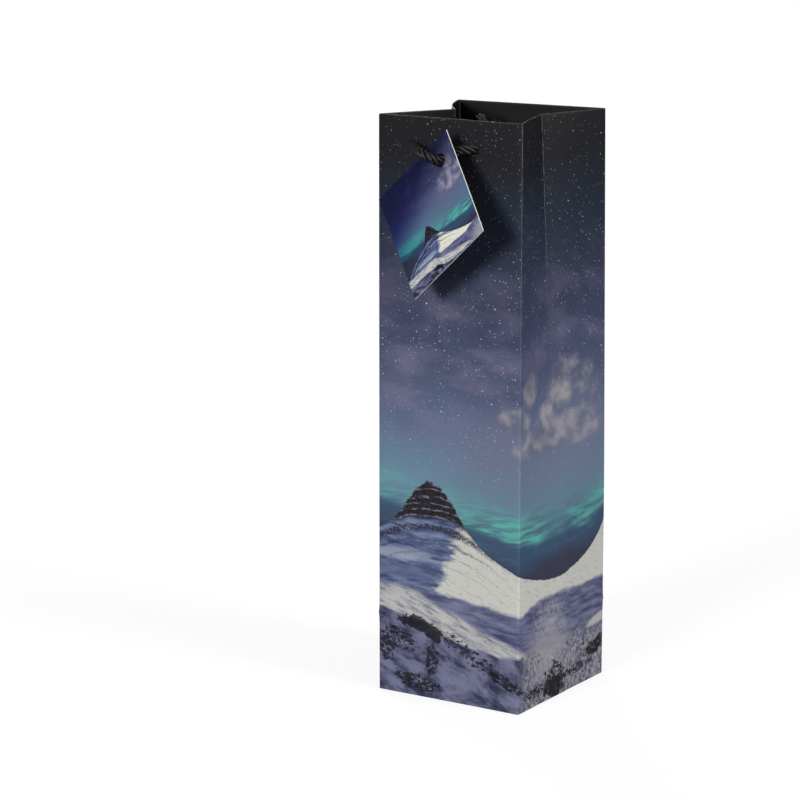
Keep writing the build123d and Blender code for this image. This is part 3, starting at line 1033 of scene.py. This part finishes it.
def add_tag():
    """The card: a slightly curled slab with a printed face, a white core and a plain back."""
    placed = tag_frame()
    half = TAG / 2
    centre = Vector((TAG_HOLE_INSET - half, TAG_HOLE_INSET - half, 0))
    wide = TAG_STEPS + 1
    points = []
    for depth in (TAG_THICKNESS / 2, -TAG_THICKNESS / 2):
        for row in range(wide):
            for column in range(wide):
                x = -half + TAG * column / TAG_STEPS
                y = -half + TAG * row / TAG_STEPS
                curl = TAG_CURL * ((x - y) / TAG) ** 2
                points.append(placed @ (centre + Vector((x, y, depth + curl))))
    faces = []
    kinds = []
    back = wide * wide
    for row in range(TAG_STEPS):
        for column in range(TAG_STEPS):
            a = row * wide + column
            faces.append((a, a + 1, a + wide + 1, a + wide))
            faces.append((back + a + wide, back + a + wide + 1, back + a + 1, back + a))
            kinds += [0, 1]
    steps = range(TAG_STEPS)
    rim = [*steps, *(i * wide + TAG_STEPS for i in steps)]
    rim += [back - 1 - i for i in rim]
    faces += band([back + i for i in rim], rim)
    kinds += [1] * len(rim)
    piece = add_mesh("tag_card", points, faces, tag_print(), smooth=False)
    piece.data.materials.append(plain_fibre("white_card", ink(236, 235, 231), ink(214, 213, 208), 1.0))
    for polygon, kind in zip(piece.data.polygons, kinds):
        polygon.material_index = kind
    bore(piece, [(placed, 0.0)], TAG_HOLE, reach=3.0)
    layer = piece.data.uv_layers.new(name="card")
    away = placed.inverted()
    for loop in piece.data.loops:
        flat = away @ (piece.data.vertices[loop.vertex_index].co / MM) - centre
        layer.data[loop.index].uv = (flat.x, flat.y)
    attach(piece, "gift_tag")
    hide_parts("gift_tag")
    return piece


# The paper inside the bag that shows past the mouth

GLUE_FLAP_WIDTH = 16.0
GLUE = 0.05


def add_glue_flap():
    """A strip of the sheet glued inside the back left corner."""
    points = []
    rings = []
    across = (0.006, 0.06, 0.11, GLUE_FLAP_WIDTH / WIDTH)
    for height in levels(1.0, HEM_FOOT - 1.0, 8):
        for depth in (PAPER + GLUE, 2 * PAPER + GLUE):
            corners = inset(height, depth, depth)
            for share in across:
                point = side_point(corners, BACK, 1 - share, height)
                points.append(Vector((point.x, point.y, height)))
        both = newest(points, 2 * len(across))
        rings.append(both[len(across):] + both[len(across) - 1::-1])
    piece = add_mesh("glue_flap_paper", points, tube(rings), BARE_PAPER, smooth=False)
    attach(piece, "bag")
    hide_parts("glue_flap")


def flap_paper():
    """The bottom flaps carry the deep blue of the near ground below, and are bare paper above."""
    net = Net(bpy.data.materials.new("flap_paper"))
    where = net.own_place()
    drifts = net.noise(where, 18, 6, 0.6, 0.4)
    ground = net.mix(drifts.rise(0.3, 0.7), ink(40, 44, 74), ink(98, 100, 132))
    fibres = net.noise(where, 1.2, 6, 0.7, 0.8)
    bare = net.mix(fibres, ink(188, 186, 180), ink(214, 212, 206))
    facing_up = net.split(net.value("NewGeometry", {}, "True Normal"))[2]
    colour = net.mix(facing_up.rise(-0.5, -0.9), bare, ground)
    return net.surface(colour, 0.6, (fibres, 0.03, 0.5), Specular_IOR_Level=0.3)


def paint_cad_nodes():
    """The flat pieces whose CAD shape is right get their own paper and board."""
    flaps = flap_paper()
    painted = {"base_board": GREY_BOARD}
    painted |= {side + "_reinforcement_card": GREY_BOARD for side in ("front", "back")}
    painted |= {side + "_bottom_flap": flaps for side in ("front", "back", "right", "left")}
    for name, material in painted.items():
        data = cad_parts[name].data
        data.materials.clear()
        data.materials.append(material)


# Floor and light

FLOOR_SIZE = 8000
FLOOR_DROP = 0.2
FLOOR_GLOW = 0.79


def add_floor():
    """A wide pale floor under the bag."""
    net = Net(bpy.data.materials.new("studio_floor"))
    pale = net.surface(
        ink(150, 150, 150), 0.9, Specular_IOR_Level=0.0, Emission_Color=WHITE, Emission_Strength=FLOOR_GLOW,
    )
    half = FLOOR_SIZE / 2
    corners = [(x, y, -FLOOR_DROP) for x, y in ((-half, -half), (half, -half), (half, half), (-half, half))]
    data = bare_mesh("floor", corners, [(0, 1, 2, 3)])
    data.materials.append(pale)
    floor = add_object("floor", data)
    floor.visible_diffuse = False
    floor.visible_glossy = False


def add_sun(name, towards, strength, softness):
    """A distant light, given the direction it shines from and its softness in degrees."""
    data = bpy.data.lights.new(name, "SUN")
    data.energy = strength
    data.angle = math.radians(softness)
    light = add_object(name, data)
    light.rotation_euler = Vector(towards).to_track_quat("Z", "Y").to_euler()


def add_world(base, *glows):
    """A pale surround, white to the camera. Each glow's direction and length add light from one side."""
    net = Net(bpy.data.worlds.new("studio"))
    axes = net.split(net.value("TexCoord", {}, "Generated"))
    lit = base
    for glow in glows:
        facing = sum(axis * share for axis, share in zip(axes, glow.normalized()))
        lit = net.math("MAXIMUM", facing, 0.0) * glow.length + lit
    seen = net.value("LightPath", {}, "Is Camera Ray")
    fed = {"Color": WHITE, "Strength": net.math("MAXIMUM", seen, lit)}
    net.node("OutputWorld", {0: net.value("Background", fed)})
    bpy.context.scene.world = net.owner


# Put it together

tag_piece = add_tag()
add_front_rope()
add_back_rope()

sheet = add_sheet()
bore(sheet, [(plane, x) for plane in (FRONT_HOLES, BACK_HOLES) for x in HOLE_PAIR], ROPE_HOLE, reach=8.0)
sheet.data.set_sharp_from_angle(angle=math.radians(35))
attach(sheet, "bag")
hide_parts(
    "front_panel", "right_gusset_front_half", "right_gusset_back_half",
    "back_panel", "left_gusset_back_half", "left_gusset_front_half",
    "front_hem", "right_hem_front_half", "right_hem_back_half",
    "back_hem", "left_hem_back_half", "left_hem_front_half",
)
add_glue_flap()
paint_cad_nodes()

add_floor()
add_world(0.11, Vector((0.0, -0.07, 0.0)), Vector((0.0, 0.0, 0.16)))
add_sun("key", (-0.05, -0.95, 0.26), 2.5, 19)
add_sun("side", (0.95, 0.0, 0.3), 2.4, 30)
add_sun("behind", (-0.75, 0.62, 0.3), 1.2, 30)
bpy.context.scene.view_settings.view_transform = "Standard"
